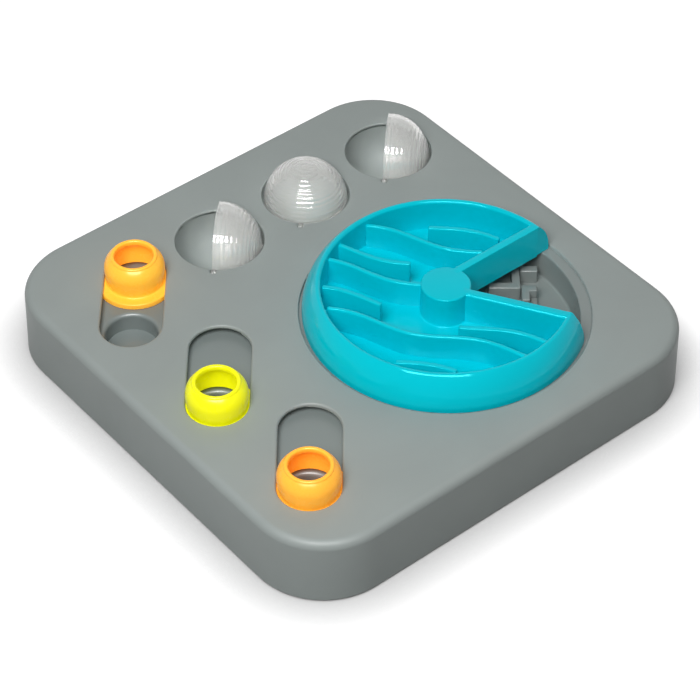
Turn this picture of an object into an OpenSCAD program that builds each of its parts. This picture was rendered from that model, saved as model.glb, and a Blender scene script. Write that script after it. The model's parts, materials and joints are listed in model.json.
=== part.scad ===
// Dog puzzle feeder toy: a square base with three flip-over treat domes,
// three sliding rings over pockets and a large maze wheel over a ribbed recess.
// Origin: centre of the base on the table. +X runs along the front row of rings,
// +Y runs from the front to the back, +Z points up.

/* [Base] */
// Width and depth of the base at its top edge
base_w = 300; // [290:1:330]
// Height of the deck above the table
base_h = 45; // [42:0.5:60]
// Radius of the base's corners, seen from above
corner_r = 45; // [30:1:60]
// Radius of the rounding between deck and sides
edge_r = 5.4; // [3:0.1:8]
// Lean of the sides from the vertical, in degrees
side_lean = 1.4; // [0.5:0.1:3]
// Thickness of the shell and of the deck
wall = 2.4; // [1.8:0.1:3]
// Gap between the table and the shell's lower edge
foot_stand = 1.5; // [1:0.1:3]

/* [Cups and domes] */
// Distance of the row of cups from the centre, towards the left
cup_x = -92; // [-96:0.5:-90]
// Place of the middle cup along the row
cup_y = 40.35; // [36:0.05:44]
// Distance between neighbouring cups
cup_pitch = 66.35; // [64:0.05:70]
// Radius of the bowls
cup_r = 27; // [24:0.1:28]
// Rounding of the rims of the cups and the recess
cup_rim_r = 1; // [0.6:0.1:1.4]
// Depth of the domes' pivot line under the deck
pivot_depth = 3.2; // [3:0.1:5]
// Direction of the pivot line, seen from above, in degrees
pivot_angle = 135; // [120:1:150]
// Free gap between a dome and its bowl
dome_gap = 1.3; // [0.8:0.1:2]
// Wall thickness of the domes
dome_wall = 1.6; // [1.2:0.1:2.4]
// How far a dome's rim reaches past its pivot line
dome_skirt = 1.2; // [0.8:0.1:1.6]
// Radius of the domes' pivot pins
pin_r = 1.8; // [1.4:0.1:2.2]
// Length of a pin outside the bowl's wall
pin_reach = 4; // [3:0.1:5]
// Radial play of a pin in its seat
pin_play = 0.06; // [0.03:0.01:0.1]

/* [Sliding rings] */
// Place of the middle slot along the front row
slot_x = 0.5; // [-2:0.1:4]
// Distance of the slots from the centre, towards the back
slot_y = -97.3; // [-99:0.1:-95]
// Distance between neighbouring slots
slot_pitch = 83; // [82:0.5:86]
// Direction of a slot, seen from above, in degrees
slot_angle = -39.5; // [-43:0.5:-38]
// Distance between the centres of a slot's two round ends
slot_travel = 45; // [36:0.5:48]
// Radius of a slot's round ends
slot_r = 18.2; // [16:0.1:19]
// Rounding of the slots' rims
slot_rim_r = 1.5; // [0.8:0.1:2]
// Depth of the sliding floor under the deck
slide_depth = 6.5; // [5.6:0.1:8]
// Radius of the flange that keeps a ring in its slot
flange_r = 22.8; // [21.5:0.1:23]
// Rounding of the flange's upper edge
flange_edge_r = 1; // [0.4:0.1:1.4]
// Height of a ring above the deck
ring_rise = 17.2; // [14:0.1:24]
// Radius of a ring's hole
ring_hole_r = 11.5; // [9:0.1:12.5]
// Radius of the rounded lip round a ring's hole
ring_lip_r = 1.3; // [1:0.1:1.6]
// Wall thickness of the hollow rings
ring_wall = 1.8; // [1.4:0.1:2.2]
// Gap between a ring's neck and the sides of its slot
ring_gap = 1.2; // [1:0.05:1.4]
// How much a ring is wider above the deck than at its neck
ring_swell = 1; // [0.6:0.1:1.1]
// Gap between a ring's flange and the walls of its channel
flange_gap = 0.5; // [0.4:0.05:0.8]
// Radius of the treat pocket at the near end of a slot
pocket_r = 15.2; // [12:0.1:16]
// Depth of the treat pocket under the deck
pocket_depth = 18.3; // [14:0.1:20]
// Rounding of the pocket's mouth
pocket_mouth_r = 2.5; // [1:0.1:2.8]
// How far the left, middle and right ring stand from the near end
ring_places = [42, 0, 0];

/* [Wheel and recess] */
// Place of the wheel's axle, towards the right
wheel_x = 40.5; // [38:0.5:44]
// Place of the wheel's axle, towards the back
wheel_y = 39; // [36:0.5:42]
// Radius of the wheel at its lower edge
wheel_r = 84.3; // [78:0.1:85]
// Radius of the space inside the wheel's rim
wheel_bowl_r = 73; // [66:0.1:74]
// Height of the wheel above the deck
wheel_rise = 20; // [16:0.5:26]
// Depth of the wheel's floor under the deck
wheel_floor_depth = 1; // [0.5:0.1:1.5]
// Thickness of the wheel's floor and hidden walls
wheel_wall = 2.2; // [1.8:0.1:3]
// Radius of the rounded top edge of the rim
rim_top_r = 1.9; // [1.2:0.1:2.2]
// Radius of the hub
hub_r = 14.7; // [13:0.1:17]
// Thickness of the walls along the wedge-shaped opening
wedge_wall = 5.5; // [4.6:0.1:7]
// Rounding of those walls' inner top edges
wedge_top_r = 1.6; // [0.8:0.1:2]
// Direction of the wedge's first side, in degrees
wedge_from = 32; // [25:1:40]
// Direction of the wedge's second side, in degrees
wedge_to = 90; // [80:1:100]
// How far the wedge's second side passes behind the hub's centre
wedge_set_back = 2.5; // [0:0.1:5]
// Thickness of the wavy fins
fin_t = 3; // [2:0.1:4]
// Drop from the rim's top to the fins' tops
fin_drop = 4; // [2:0.1:8]
// General direction of the fins, in degrees
fin_angle = 33; // [25:1:40]
// Length of one full wave of a fin
fin_wave = 82; // [70:1:100]
// Height of the fins' waves, from the middle line
fin_swing = 3.3; // [2:0.1:5]
// Depth of the recess under the deck
recess_depth = 20; // [16:0.5:24]
// Width of the ring-shaped ledge round the recess
ledge_w = 6.7; // [5:0.1:9]
// Rounding of the ledge's inner edge
ledge_edge_r = 1; // [0.5:0.1:1.4]
// Gap between the wheel and the edge of the ledge
wheel_gap = 1.7; // [1:0.1:3]
// Radius of the wheel's axle
axle_r = 6; // [5:0.1:8]
// Radial play of the axle in its post
axle_play = 0.08; // [0.03:0.01:0.1]
// Height of the ribs on the floor of the recess
rib_h = 9.7; // [6:0.1:12]
// Thickness of those ribs
rib_t = 5.2; // [4:0.1:6]

/* [Cover, feet and screws] */
// Thickness of the bottom cover
cover_t = 2.4; // [2:0.1:3]
// Gap between the cover and the shell
cover_gap = 0.4; // [0.2:0.1:0.8]
// Radius of the rubber feet
foot_r = 9; // [7:0.5:12]
// How deep a foot sits in the cover
foot_seat = 1; // [0.6:0.1:1.4]
// Radius of a screw's shank
screw_r = 1.5; // [1.2:0.1:2]
// Radius of a screw's head
screw_head_r = 2.9; // [2.4:0.1:3.6]
// Height of a screw's head
screw_head_h = 2; // [1.6:0.1:2.6]
// Radius of the bosses that take the screws
boss_r = 4; // [3.6:0.1:4.4]

/* [Hidden] */
$fn = 64;

clear = 0.3;                 // gap between pieces that move past each other
over = 1;                    // how far a cutter reaches past what it cuts
shell_h = base_h - foot_stand;
cover_top = foot_stand + 0.6 + cover_t;
cups = [for (k = [-1:1]) [cup_x, cup_y + k * cup_pitch]];
slots = [for (k = [-1:1]) [slot_x + k * slot_pitch, slot_y]];

// Bowls and domes: height of the bowl's upper face over the pivot line, outer radius of a dome,
// the angle each dome is turned open, and the widths of the snap-in mouth over a pin
bowl_top = pivot_depth - wall;
dome_r = cup_r - dome_gap;
dome_turns = [90, 0, 90];
pin_end = cup_r + pin_reach;
snap_w = 2 * pin_r - 0.6;
snap_top_w = 2 * pin_r + 0.8;
nub_r = 1.4;
nub_rise = 0.4;

// Rings: neck in the slot, widest radius and its height, centre of the lip, the two arcs of the
// outer side, and the radius of the hollow at the neck
neck_r = slot_r - ring_gap;
ring_r = neck_r + ring_swell;
ring_low = -slide_depth + clear;
flange_top = -wall - clear;
swell_z = 0.44 * ring_rise;
lip_z = ring_rise - ring_lip_r;
lip_reach = ring_r - ring_hole_r - 2 * ring_lip_r + 0.1;
shoulder_r = (pow(lip_reach, 2) + pow(lip_z - swell_z, 2)) / (2 * lip_reach);
waist_r = (pow(ring_swell, 2) + pow(swell_z - flange_top - ring_gap, 2)) / (2 * ring_swell);
throat_r = neck_r - 0.8 * ring_wall;
collar_h = 1.8;

// Tracks under the slots
channel_r = flange_r + flange_gap;
track_wall = 2.6;
track_r = channel_r + track_wall;
track_floor_t = 2;
track_skirt = 12;
ear_t = 2.4;
ear_r = boss_r + 0.8;
ear_out = track_r + boss_r + clear;
ear_turn = 40;
ear_places = [
  [8, -ear_out], [-8, ear_out],
  [slot_travel / 2 + ear_out * cos(ear_turn), ear_out * sin(ear_turn)],
  [-slot_travel / 2 - ear_out * cos(ear_turn), -ear_out * sin(ear_turn)]
];

// Wheel and recess
recess_r = wheel_r + wheel_gap;
well_r = recess_r - ledge_w;
well_lean = 0.8;
wheel_edge = -wall + clear;
wheel_floor_top = -wheel_floor_depth;
wheel_floor_low = wheel_floor_top - wheel_wall;
ledge_low = -2 * wall;
ledge_round_z = -wall - ledge_edge_r;
// Ribs of one quarter of the recess, in the slots' direction: corner x, corner y, length,
// for a well of radius 79.3; the last one of the upright ribs is lower than the others
rib_fit = well_r / 79.3;
ribs_across = [[27, 29.3, 19.2], [44, 44.3, 13], [46.2, 27.2, 9.8]];
ribs_upright = [[41.2, 29.3, 22.7], [46.2, 19, 13.4]];
low_rib = [51, 16, 11];
low_rib_h = 0.45 * rib_h;
post_wall = 3.5;
post_top = wheel_rise - wheel_wall - clear;
well_low = -recess_depth - wall;
axle_end = well_low - 0.5;
axle_bore = 14;
washer_r = axle_r + 3.4;
washer_t = 1.2;
rim_top_z = wheel_rise - rim_top_r;
fin_top = wheel_rise - fin_drop;
// Outer face of the rim: an arc about z = 0 that ends just inside the rounded top
rim_out_r = wheel_bowl_r + 2 * rim_top_r - 0.1;
bulge_r = (pow(rim_top_z, 2) + pow(wheel_r - rim_out_r, 2)) / (2 * (wheel_r - rim_out_r));
fin_step = 2.5;
// Each fin: distance from the hub's centre line, where a wave crests, and its two ends
fins = [
  [37.9, -50, -80, 12], [50.7, 2, -25, 18], [16.3, -83, -80, -26], [1, -71, -80, -12],
  [-22.5, -60, -80, -32], [-38.2, -50, -80, 80], [-25.8, 49, 16, 80], [-66.3, 14, -10, 40]
];

// Cover screws: corners, middles of the sides and one near the centre
boss_corner = base_w / 2 - 19;
cover_bosses = [
  [-boss_corner, -boss_corner], [boss_corner, -boss_corner],
  [boss_corner, boss_corner], [-boss_corner, boss_corner],
  [0, boss_corner], [boss_corner + 5, -30], [-22, -boss_corner - 4],
  [-boss_corner - 5, 7], [-52, -35]
];
cover_screw_len = 10;
track_screw_len = 7;
wheel_screw_len = 12;
screw_end_gap = 1.2;
screw_play = 0.2;
foot_play = 0.1;
feet = [for (y = [-1, 1]) for (x = [-1, 1]) [x * (base_w / 2 - 38), y * (base_w / 2 - 38)]];

// ---------- shapes that repeat ----------

// Half section of a tray: flat top with a rounded edge, side that leans outwards
module tray_section(r, h, edge) {
  cx = r - edge;
  cz = h - edge;
  foot_x = cx + edge * cos(side_lean) + (cz + edge * sin(side_lean)) * tan(side_lean);
  polygon([[0, 0], [foot_x, 0], [cx + edge * cos(side_lean), cz + edge * sin(side_lean)],
    [cx, h], [0, h]]);
  translate([cx, cz]) circle(edge);
}

// Solid square tray with round corners, made of a block, four sides and four corners
module tray(w, r, h, edge) {
  side = w - 2 * r;
  translate([-side / 2, -side / 2, 0]) cube([side, side, h]);
  for (a = [0:90:270]) rotate(a) {
    translate([side / 2, side / 2, 0]) rotate_extrude(angle = 90) tray_section(r, h, edge);
    translate([side / 2, -side / 2, 0]) rotate([90, 0, 180]) mirror([1, 0, 0])
      linear_extrude(side) tray_section(r, h, edge);
  }
}

// Upright prism with two round ends, along x
module obround(len, r, h) {
  translate([-len / 2, -r, 0]) cube([len, 2 * r, h]);
  for (x = [-len / 2, len / 2]) translate([x, 0, 0]) cylinder(h = h, r = r);
}

// Section of the cutter that rounds a rim: the corner of a hole of radius r
module rim_cut_section(r, round_r) {
  difference() {
    translate([r - over, -round_r]) square([round_r + over, round_r + over]);
    translate([r + round_r, -round_r]) circle(round_r);
  }
}

// Cutter that rounds the upper rim of a slot, along x
module slot_rim_cut(len, r, round_r) {
  for (s = [0, 180]) rotate(s) {
    translate([len / 2, 0, 0]) rotate([0, 0, -90]) rotate_extrude(angle = 180)
      rim_cut_section(r, round_r);
    translate([-len / 2, 0, 0]) rotate([90, 0, 90]) linear_extrude(len)
      rim_cut_section(r, round_r);
  }
}

// Goes to the frame of one slot: x along the slot, towards its pocket end, z = 0 at the deck
module at_slot(place) {
  translate([place[0], place[1], base_h]) rotate(slot_angle) children();
}

// Goes to a cup's pivot: x along the pivot line, z up
module at_cup(place) {
  translate([place[0], place[1], base_h - pivot_depth]) rotate(pivot_angle) children();
}

// Goes to the wheel's axle, z = 0 at the deck
module at_wheel() {
  translate([wheel_x, wheel_y, base_h]) children();
}

// Pan-head screw with its head below z = 0 and its shank above
module screw(len) {
  color("gainsboro") {
    cylinder(h = len, r = screw_r);
    translate([0, 0, -screw_head_h]) cylinder(h = screw_head_h, r = screw_head_r);
  }
}

// ---------- base ----------

// Mouth over the pins, along the pivot line: narrow at the pin and wide at the deck
module pin_mouth() {
  rotate([90, 0, 90]) translate([0, 0, -pin_end - clear]) linear_extrude(2 * (pin_end + clear))
    polygon([[-snap_w / 2, 0], [snap_w / 2, 0], [snap_w / 2, pivot_depth / 2],
      [snap_top_w / 2, pivot_depth], [snap_top_w / 2, pivot_depth + over],
      [-snap_top_w / 2, pivot_depth + over], [-snap_top_w / 2, pivot_depth],
      [-snap_w / 2, pivot_depth / 2]]);
}

// Hollow of one cup with its rounded rim, pin seats and the mouths above them
module cup_hollow(place) {
  at_cup(place) {
    sphere(r = cup_r);
    cylinder(h = pivot_depth + over, r = cup_r);
    translate([0, 0, pivot_depth]) rotate_extrude() rim_cut_section(cup_r, cup_rim_r);
    translate([-pin_end - clear, 0, 0]) rotate([0, 90, 0])
      cylinder(h = 2 * (pin_end + clear), r = pin_r + pin_play);
    pin_mouth();
  }
}

// Bowl that closes one cup from below, with the two blocks that hold the pivot pins
module bowl(k) {
  r = cup_r + wall;
  block = pin_end + wall - cup_r;
  color("#8e9693") difference() {
    at_cup(cups[k]) difference() {
      union() {
        sphere(r = r);
        for (s = [-1, 1]) translate([s > 0 ? cup_r : -cup_r - block, -pin_r - wall, -pin_r - wall])
          cube([block, 2 * (pin_r + wall), 2 * (pin_r + wall)]);
      }
      translate([-2 * r, -2 * r, bowl_top]) cube([4 * r, 4 * r, 2 * r]);
    }
    cup_hollow(cups[k]);
  }
}

// Ribs that make treats hard to lick out: the same group in each quarter of the floor
module recess_ribs() {
  for (q = [0:90:270]) rotate(slot_angle + 90 + q)
    translate([0, 0, -recess_depth - wall / 2]) {
      linear_extrude(rib_h + wall / 2) {
        for (rib = ribs_across) translate(rib_fit * [rib[0], rib[1]])
          square([rib_fit * rib[2], rib_t]);
        for (rib = ribs_upright) translate(rib_fit * [rib[0], rib[1]])
          square([rib_t, rib_fit * rib[2]]);
      }
      translate(rib_fit * [low_rib[0], low_rib[1], 0])
        cube([rib_t, rib_fit * low_rib[2], low_rib_h + wall / 2]);
    }
}

// Section of the recess: floor, leaning side and the ledge that lies under the deck
module well_section() {
  difference() {
    polygon([[0, well_low], [well_r - well_lean + wall, well_low], [well_r + wall, ledge_low],
      [recess_r + wall, ledge_low], [recess_r + wall, -wall], [0, -wall]]);
    difference() {
      polygon([[-over, -recess_depth], [well_r - well_lean, -recess_depth],
        [well_r, ledge_round_z], [well_r + ledge_edge_r, ledge_round_z],
        [well_r + ledge_edge_r, over - wall], [-over, over - wall]]);
      translate([well_r + ledge_edge_r, ledge_round_z]) circle(ledge_edge_r);
    }
  }
}

// Deep tray under the wheel with its ribs and the post of the axle
module recess_well() {
  post_h = recess_depth + wall / 2 + post_top;
  color("#8e9693") at_wheel() difference() {
    union() {
      rotate_extrude() well_section();
      recess_ribs();
      translate([0, 0, -recess_depth - wall / 2]) cylinder(h = post_h, r = axle_r + post_wall);
    }
    translate([0, 0, well_low - over])
      cylinder(h = post_h + wall / 2 + 2 * over, r = axle_r + axle_play);
  }
}

module top_shell() {
  color("#8e9693") difference() {
    union() {
      translate([0, 0, foot_stand]) difference() {
        tray(base_w, corner_r, shell_h, edge_r);
        translate([0, 0, -over])
          tray(base_w - 2 * wall, corner_r - wall, shell_h - wall + over, edge_r - wall);
      }
      for (place = slots) at_slot(place) for (ear = ear_places)
        translate([ear[0], ear[1], -track_skirt + ear_t])
          cylinder(h = track_skirt - ear_t - wall / 2, r = boss_r);
      for (place = cover_bosses) translate([place[0], place[1], cover_top])
        cylinder(h = base_h - wall / 2 - cover_top, r = boss_r);
    }
    for (place = cups) cup_hollow(place);
    at_wheel() {
      translate([0, 0, -wall - over]) cylinder(h = wall + 2 * over, r = recess_r);
      rotate_extrude() rim_cut_section(recess_r, cup_rim_r);
    }
    for (place = slots) at_slot(place) {
      translate([0, 0, -wall - over]) obround(slot_travel, slot_r, wall + 2 * over);
      slot_rim_cut(slot_travel, slot_r, slot_rim_r);
      for (ear = ear_places) translate([ear[0], ear[1], -track_skirt + ear_t - over])
        cylinder(h = track_skirt - ear_t - wall - screw_end_gap + over, r = screw_r);
    }
    for (place = cover_bosses) translate([place[0], place[1], cover_top - over])
      cylinder(h = cover_screw_len + over, r = screw_r);
  }
}

module bottom_cover() {
  inset = wall + cover_gap;
  side = base_w - 2 * corner_r;
  r = corner_r - inset;
  color("#7f8785") translate([0, 0, cover_top - cover_t]) difference() {
    union() {
      translate([-side / 2 - r, -side / 2, 0]) cube([side + 2 * r, side, cover_t]);
      translate([-side / 2, -side / 2 - r, 0]) cube([side, side + 2 * r, cover_t]);
      for (x = [-side / 2, side / 2]) for (y = [-side / 2, side / 2])
        translate([x, y, 0]) cylinder(h = cover_t, r = r);
    }
    for (place = cover_bosses) translate([place[0], place[1], -over])
      cylinder(h = cover_t + 2 * over, r = screw_r + screw_play);
    for (place = feet) translate([place[0], place[1], -over])
      cylinder(h = foot_seat + over, r = foot_r + foot_play);
  }
}

// ---------- sliding rings ----------

module track(k) {
  color("#89918e") at_slot(slots[k]) difference() {
    union() {
      translate([0, 0, -track_skirt]) obround(slot_travel, track_r, track_skirt - wall);
      translate([slot_travel / 2, 0, -pocket_depth - track_floor_t])
        cylinder(h = pocket_depth - slide_depth, r = pocket_r + track_floor_t);
      for (ear = ear_places) translate([ear[0], ear[1], -track_skirt])
        cylinder(h = ear_t, r = ear_r);
    }
    translate([0, 0, -slide_depth]) obround(slot_travel, channel_r, slide_depth);
    translate([0, 0, -track_skirt - over]) difference() {
      obround(slot_travel, channel_r, track_skirt - slide_depth - track_floor_t + over);
      translate([slot_travel / 2, 0, -over])
        cylinder(h = track_skirt + over, r = pocket_r + track_floor_t);
    }
    translate([slot_travel / 2, 0, -pocket_depth]) cylinder(h = pocket_depth, r = pocket_r);
    translate([slot_travel / 2, 0, -slide_depth]) rotate_extrude()
      rim_cut_section(pocket_r, pocket_mouth_r);
    for (ear = ear_places) translate([ear[0], ear[1], -track_skirt - over])
      cylinder(h = ear_t + 2 * over, r = screw_r + screw_play);
  }
}

// Outline of a ring: flange, fillet, waist, round shoulder and rounded lip, filled inwards
module ring_outline() {
  translate([ring_hole_r, ring_low]) {
    square([flange_r - ring_hole_r, flange_top - ring_low - flange_edge_r]);
    square([flange_r - flange_edge_r - ring_hole_r, flange_top - ring_low]);
  }
  translate([flange_r - flange_edge_r, flange_top - flange_edge_r]) circle(flange_edge_r);
  difference() {
    translate([ring_hole_r, flange_top - over])
      square([slot_r - ring_hole_r, over + ring_gap]);
    translate([slot_r, flange_top + ring_gap]) circle(ring_gap);
  }
  intersection() {
    translate([ring_r - waist_r, swell_z]) circle(waist_r);
    translate([ring_hole_r, flange_top + ring_gap])
      square([ring_r, swell_z - flange_top - ring_gap]);
  }
  intersection() {
    translate([ring_r - shoulder_r, swell_z]) circle(shoulder_r);
    translate([ring_hole_r, swell_z]) square([ring_r, lip_z - swell_z]);
  }
  translate([ring_hole_r + ring_lip_r, lip_z]) circle(ring_lip_r);
}

// Hollow of a ring: it passes under the lip's collar and widens again inside the flange
module ring_hollow() {
  polygon([[0, ring_low - over], [flange_r - ring_wall, ring_low - over],
    [flange_r - ring_wall, flange_top - ring_wall],
    [throat_r + ring_wall, flange_top - ring_wall], [throat_r, flange_top],
    [ring_r - ring_wall, swell_z], [0, swell_z]]);
  intersection() {
    translate([ring_r - shoulder_r, swell_z]) circle(shoulder_r - ring_wall);
    translate([0, swell_z]) square([ring_r, lip_z - collar_h - swell_z]);
  }
}

module slider_ring(k, tint) {
  color(tint) at_slot(slots[k]) translate([slot_travel / 2 - ring_places[k], 0, 0])
    rotate_extrude() difference() {
      ring_outline();
      ring_hollow();
    }
}

// ---------- domes ----------

// Clear half-round dome on two pins, turned open about its pivot line
module treat_dome(k) {
  color("#d8dcdc", 0.5) at_cup(cups[k]) rotate([dome_turns[k], 0, 0]) {
    difference() {
      union() {
        sphere(r = dome_r);
        translate([0, 0, dome_r - nub_rise]) cylinder(h = 2 * nub_rise, r = nub_r);
      }
      sphere(r = dome_r - dome_wall);
      translate([-dome_r - over, -dome_r - over, -2 * dome_r])
        cube([2 * (dome_r + over), 2 * (dome_r + over), 2 * dome_r - dome_skirt]);
    }
    for (s = [-1, 1]) translate([s * (dome_r - dome_wall / 2), 0, 0]) rotate([0, s * 90, 0])
      cylinder(h = pin_end - dome_r + dome_wall / 2, r = pin_r);
  }
}

// ---------- wheel ----------

// Outline of the rim, filled down to its lower edge
module rim_outline() {
  intersection() {
    translate([wheel_r - bulge_r, 0]) circle(bulge_r);
    translate([wheel_bowl_r, wheel_edge]) square([wheel_r, rim_top_z - wheel_edge]);
  }
  translate([wheel_bowl_r + rim_top_r, rim_top_z]) circle(rim_top_r);
}

// Section of the hollow under the rim
module rim_hollow_section() {
  intersection() {
    translate([wheel_r - bulge_r, 0]) circle(bulge_r - wheel_wall);
    translate([wheel_bowl_r + wheel_wall, wheel_floor_low - over])
      square([wheel_r, rim_top_z - wheel_floor_low - wheel_wall + over]);
  }
}

// Rim with a hollow underneath that stops short of the wedge, so its cut ends are closed
module rim() {
  plate = asin((wedge_wall + wedge_set_back) / wheel_bowl_r);
  difference() {
    rotate_extrude() {
      rim_outline();
      translate([wheel_bowl_r, wheel_floor_low])
        square([wheel_wall + over, wheel_edge - wheel_floor_low + over]);
    }
    rotate(wedge_to + plate) rotate_extrude(angle = 360 - wedge_to + wedge_from - 2 * plate)
      rim_hollow_section();
  }
}

// Plan of the wedge-shaped opening
module wedge_plan() {
  reach = 2 * wheel_r;
  intersection() {
    rotate(wedge_from) translate([-reach, 0]) square([2 * reach, reach]);
    rotate(wedge_to) translate([-reach, wedge_set_back - reach]) square([2 * reach, reach]);
  }
}

// Middle line of a fin at the distance u along it
function fin_line(f, u) = f[0] + fin_swing * cos(360 * (u - f[1]) / fin_wave);

// Unit vector across a fin at the distance u along it
function fin_across(f, u) =
  let (slope = -fin_swing * 2 * PI / fin_wave * sin(360 * (u - f[1]) / fin_wave))
    [-slope, 1] / norm([-slope, 1]);

// One wavy fin standing on the floor, x along the fin, ending inside the rim
module wavy_fin(f) {
  steps = ceil((f[3] - f[2]) / fin_step);
  stations = [for (i = [0:steps]) f[2] + (f[3] - f[2]) * i / steps];
  function edge(u, side) = [u, fin_line(f, u)] + side * fin_t / 2 * fin_across(f, u);
  root = wheel_floor_top - wheel_wall / 2;
  translate([0, 0, root]) linear_extrude(fin_top - root)
    intersection() {
      polygon(concat([for (u = stations) edge(u, 1)],
        [for (i = [steps:-1:0]) edge(stations[i], -1)]));
      circle(wheel_bowl_r + wheel_wall / 2);
    }
}

// Straight wall along x beside the wedge, on the side y > 0, rounded at its inner top edge
module wedge_side() {
  rotate([90, 0, 90]) linear_extrude(wheel_bowl_r + 0.6 * rim_top_r) {
    translate([-over, wheel_floor_low])
      square([wedge_wall + over, wheel_rise - wedge_top_r - wheel_floor_low]);
    translate([-over, 0]) square([wedge_wall + over - wedge_top_r, wheel_rise]);
    translate([wedge_wall - wedge_top_r, wheel_rise - wedge_top_r]) circle(wedge_top_r);
  }
}

module maze_wheel() {
  color("#00b4c8") at_wheel() {
    difference() {
      union() {
        rim();
        translate([0, 0, wheel_floor_low]) cylinder(h = wheel_wall, r = wheel_bowl_r + 0.4);
        rotate(fin_angle) for (f = fins) wavy_fin(f);
        rotate(wedge_to) translate([0, wedge_set_back, 0]) wedge_side();
        rotate(wedge_from) mirror([0, 1, 0]) wedge_side();
      }
      translate([0, 0, wheel_floor_low - over])
        linear_extrude(wheel_rise - wheel_floor_low + 2 * over) wedge_plan();
      translate([0, 0, wheel_floor_low - over])
        cylinder(h = wheel_rise - wheel_floor_low + 2 * over, r = hub_r - wheel_wall / 2);
    }
    difference() {
      translate([0, 0, wheel_floor_low]) cylinder(h = wheel_rise - wheel_floor_low, r = hub_r);
      translate([0, 0, wheel_floor_low - over])
        cylinder(h = wheel_rise - wheel_floor_low - wheel_wall + over, r = hub_r - wheel_wall);
    }
    difference() {
      translate([0, 0, axle_end])
        cylinder(h = wheel_rise - wheel_wall / 2 - axle_end, r = axle_r);
      translate([0, 0, axle_end - over]) cylinder(h = axle_bore + over, r = screw_r);
    }
  }
}

module wheel_washer() {
  color("gainsboro") at_wheel() translate([0, 0, axle_end - washer_t]) difference() {
    cylinder(h = washer_t, r = washer_r);
    translate([0, 0, -over]) cylinder(h = washer_t + 2 * over, r = screw_r + screw_play);
  }
}

module wheel_screw() {
  at_wheel() translate([0, 0, axle_end - washer_t]) screw(wheel_screw_len);
}

// ---------- screws and feet ----------

module track_screws(k) {
  at_slot(slots[k]) for (ear = ear_places) translate([ear[0], ear[1], -track_skirt])
    screw(track_screw_len);
}

module cover_screws() {
  for (place = cover_bosses) translate([place[0], place[1], cover_top - cover_t])
    screw(cover_screw_len);
}

module foot(k) {
  color("#3a3d3e") translate([feet[k][0], feet[k][1], 0])
    cylinder(h = cover_top - cover_t + foot_seat, r = foot_r);
}

top_shell();
recess_well();
bowl(0);  // bowl_front
bowl(1);  // bowl_middle
bowl(2);  // bowl_back
bottom_cover();
track(0);  // track_left
track(1);  // track_middle
track(2);  // track_right
slider_ring(0, "#ffb22e");  // ring_left
slider_ring(1, "#fff000");  // ring_middle
slider_ring(2, "#ffb22e");  // ring_right
treat_dome(0);  // dome_front
treat_dome(1);  // dome_middle
treat_dome(2);  // dome_back
maze_wheel();
wheel_washer();
wheel_screw();
track_screws(0);  // track_screws_left
track_screws(1);  // track_screws_middle
track_screws(2);  // track_screws_right
cover_screws();
foot(0);  // foot_front_left
foot(1);  // foot_front_right
foot(2);  // foot_back_left
foot(3);  // foot_back_right
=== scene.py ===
import json
import math
import bmesh
import bpy
from mathutils import Matrix, Vector


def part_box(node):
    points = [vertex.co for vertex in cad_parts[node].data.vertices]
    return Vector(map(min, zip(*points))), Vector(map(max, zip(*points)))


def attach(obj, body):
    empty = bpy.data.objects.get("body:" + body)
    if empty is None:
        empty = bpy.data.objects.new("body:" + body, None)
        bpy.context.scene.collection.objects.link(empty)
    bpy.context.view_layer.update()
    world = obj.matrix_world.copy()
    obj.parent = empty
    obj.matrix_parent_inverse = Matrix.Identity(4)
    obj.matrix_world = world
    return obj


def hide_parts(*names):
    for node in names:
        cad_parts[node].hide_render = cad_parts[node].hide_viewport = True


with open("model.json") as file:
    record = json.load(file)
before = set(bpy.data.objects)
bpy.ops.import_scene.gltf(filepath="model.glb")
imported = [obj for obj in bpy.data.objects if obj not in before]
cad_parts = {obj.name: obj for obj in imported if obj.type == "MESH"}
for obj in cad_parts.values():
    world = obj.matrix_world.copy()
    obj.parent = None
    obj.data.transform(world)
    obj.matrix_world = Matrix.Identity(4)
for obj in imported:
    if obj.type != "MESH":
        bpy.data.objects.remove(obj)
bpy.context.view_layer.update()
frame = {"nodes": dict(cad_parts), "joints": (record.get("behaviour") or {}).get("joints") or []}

scene = bpy.context.scene
mm = 0.001
joints = {j["name"]: j for j in frame["joints"]}
nodes = frame["nodes"]
proud = 0.03  # mm, keeps flush faces of two shells from lying in one plane
weld = 1e-6  # metres, points closer than this are one

cameraSet = {
    "target": (12.753, -10.268, 20.735),  # mm
    "distance": 1568.8,  # mm
    "azimuth": 50.472,
    "elevation": 43.89,
    "roll": 0.202,
    "lens": 136.73,
    "sensor": 36.0,
}


def linked(name, data):
    made = bpy.data.objects.new(name, data)
    scene.collection.objects.link(made)
    return made


def aimed(azimuth, elevation):
    # direction from the toy to a camera or lamp, and the turn that makes it look back
    a, e = math.radians(azimuth), math.radians(elevation)
    back = Vector((math.sin(a) * math.cos(e), -math.cos(a) * math.cos(e), math.sin(e)))
    return back, (-back).to_track_quat("-Z", "Y").to_matrix()


def makeCamera(v):
    back, turn = aimed(v["azimuth"], v["elevation"])
    data = bpy.data.cameras.new("camera")
    data.lens, data.sensor_width = v["lens"], v["sensor"]
    data.clip_start, data.clip_end = 0.05, 20
    turn = turn @ Matrix.Rotation(math.radians(v["roll"]), 3, "Z")
    place = Vector(v["target"]) * mm + back * v["distance"] * mm
    cam = linked("camera", data)
    cam.matrix_world = Matrix.Translation(place) @ turn.to_4x4()
    scene.camera = cam


makeCamera(cameraSet)
scene.view_settings.view_transform = "Standard"
print("camera made")


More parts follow.
